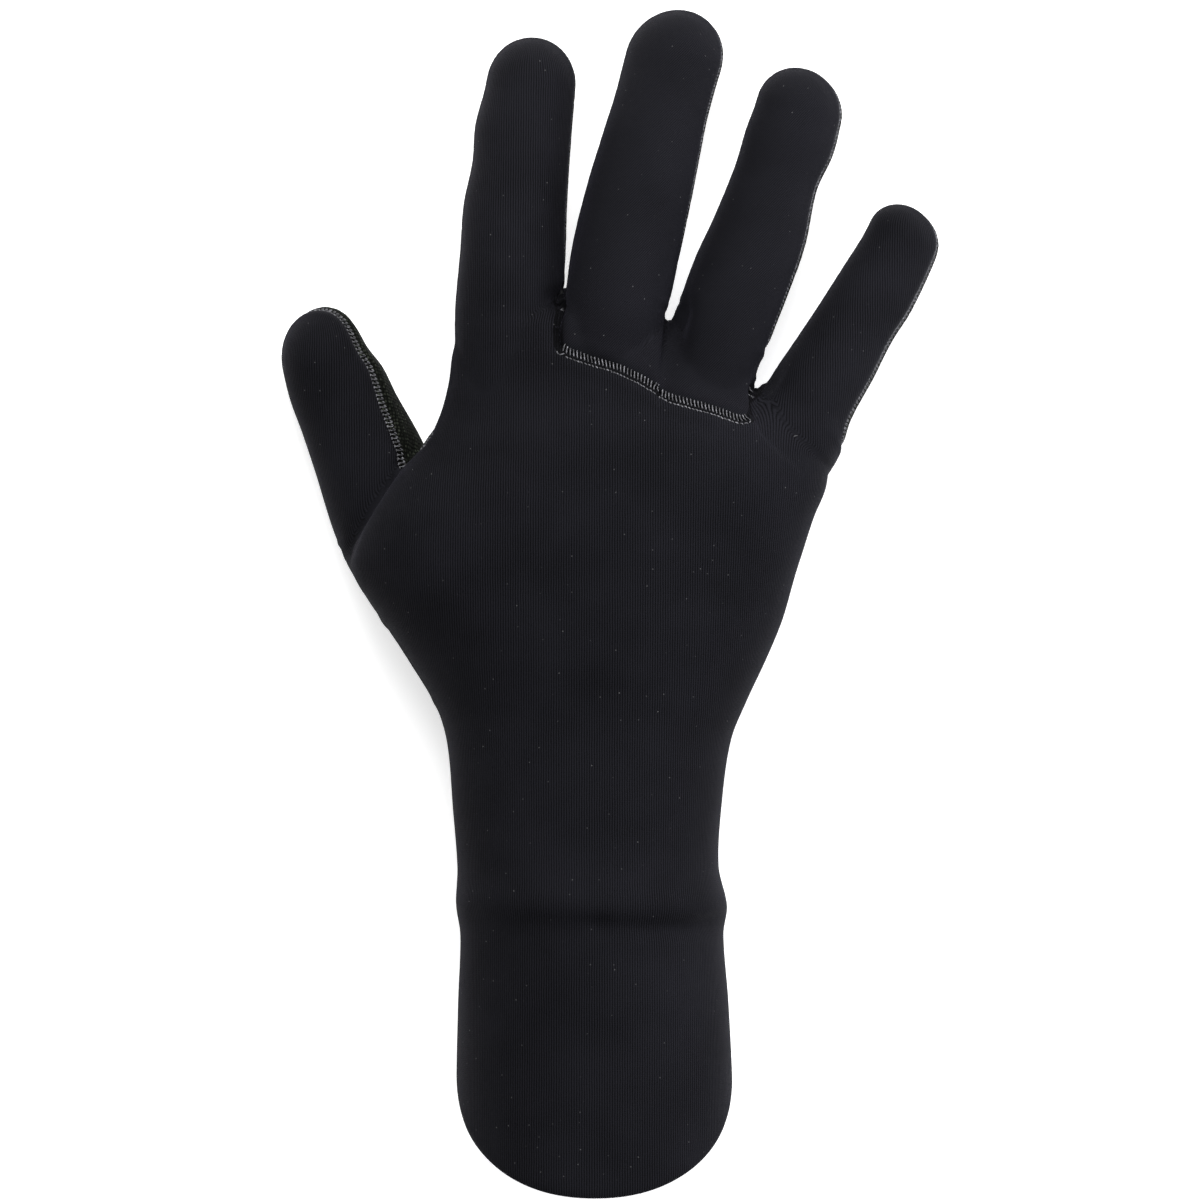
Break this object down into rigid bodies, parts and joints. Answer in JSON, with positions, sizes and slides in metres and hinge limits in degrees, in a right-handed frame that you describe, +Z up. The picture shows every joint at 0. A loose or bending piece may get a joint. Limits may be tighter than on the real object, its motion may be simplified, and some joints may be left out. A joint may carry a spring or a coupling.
{
  "type": "diving glove",
  "caption": "Right-hand five-finger neoprene diving glove with a long slanted cuff, sewn back, finger and palm panels, lying palm down.",
  "frame": {"origin": "on the floor under the middle of the wrist, on the flattened underside of the cuff", "axes": "+X towards the little finger's side, +Y towards the fingertips, +Z up through the back of the hand"},
  "size_m": [0.1747, 0.3142, 0.057],
  "materials": {
    "knit_face": "black nylon jersey over neoprene foam, fine knit wales along the glove, soft sheen",
    "finger_knit_face": "the same jersey, its wales running aslant",
    "grip_cloth": "black grip cloth with small raised dots"
  },
  "bodies": {
    "root": {"back_panel": "knit_face", "finger_back_panel": "finger_knit_face", "palm_panel": "grip_cloth"}
  },
  "joints": []
}
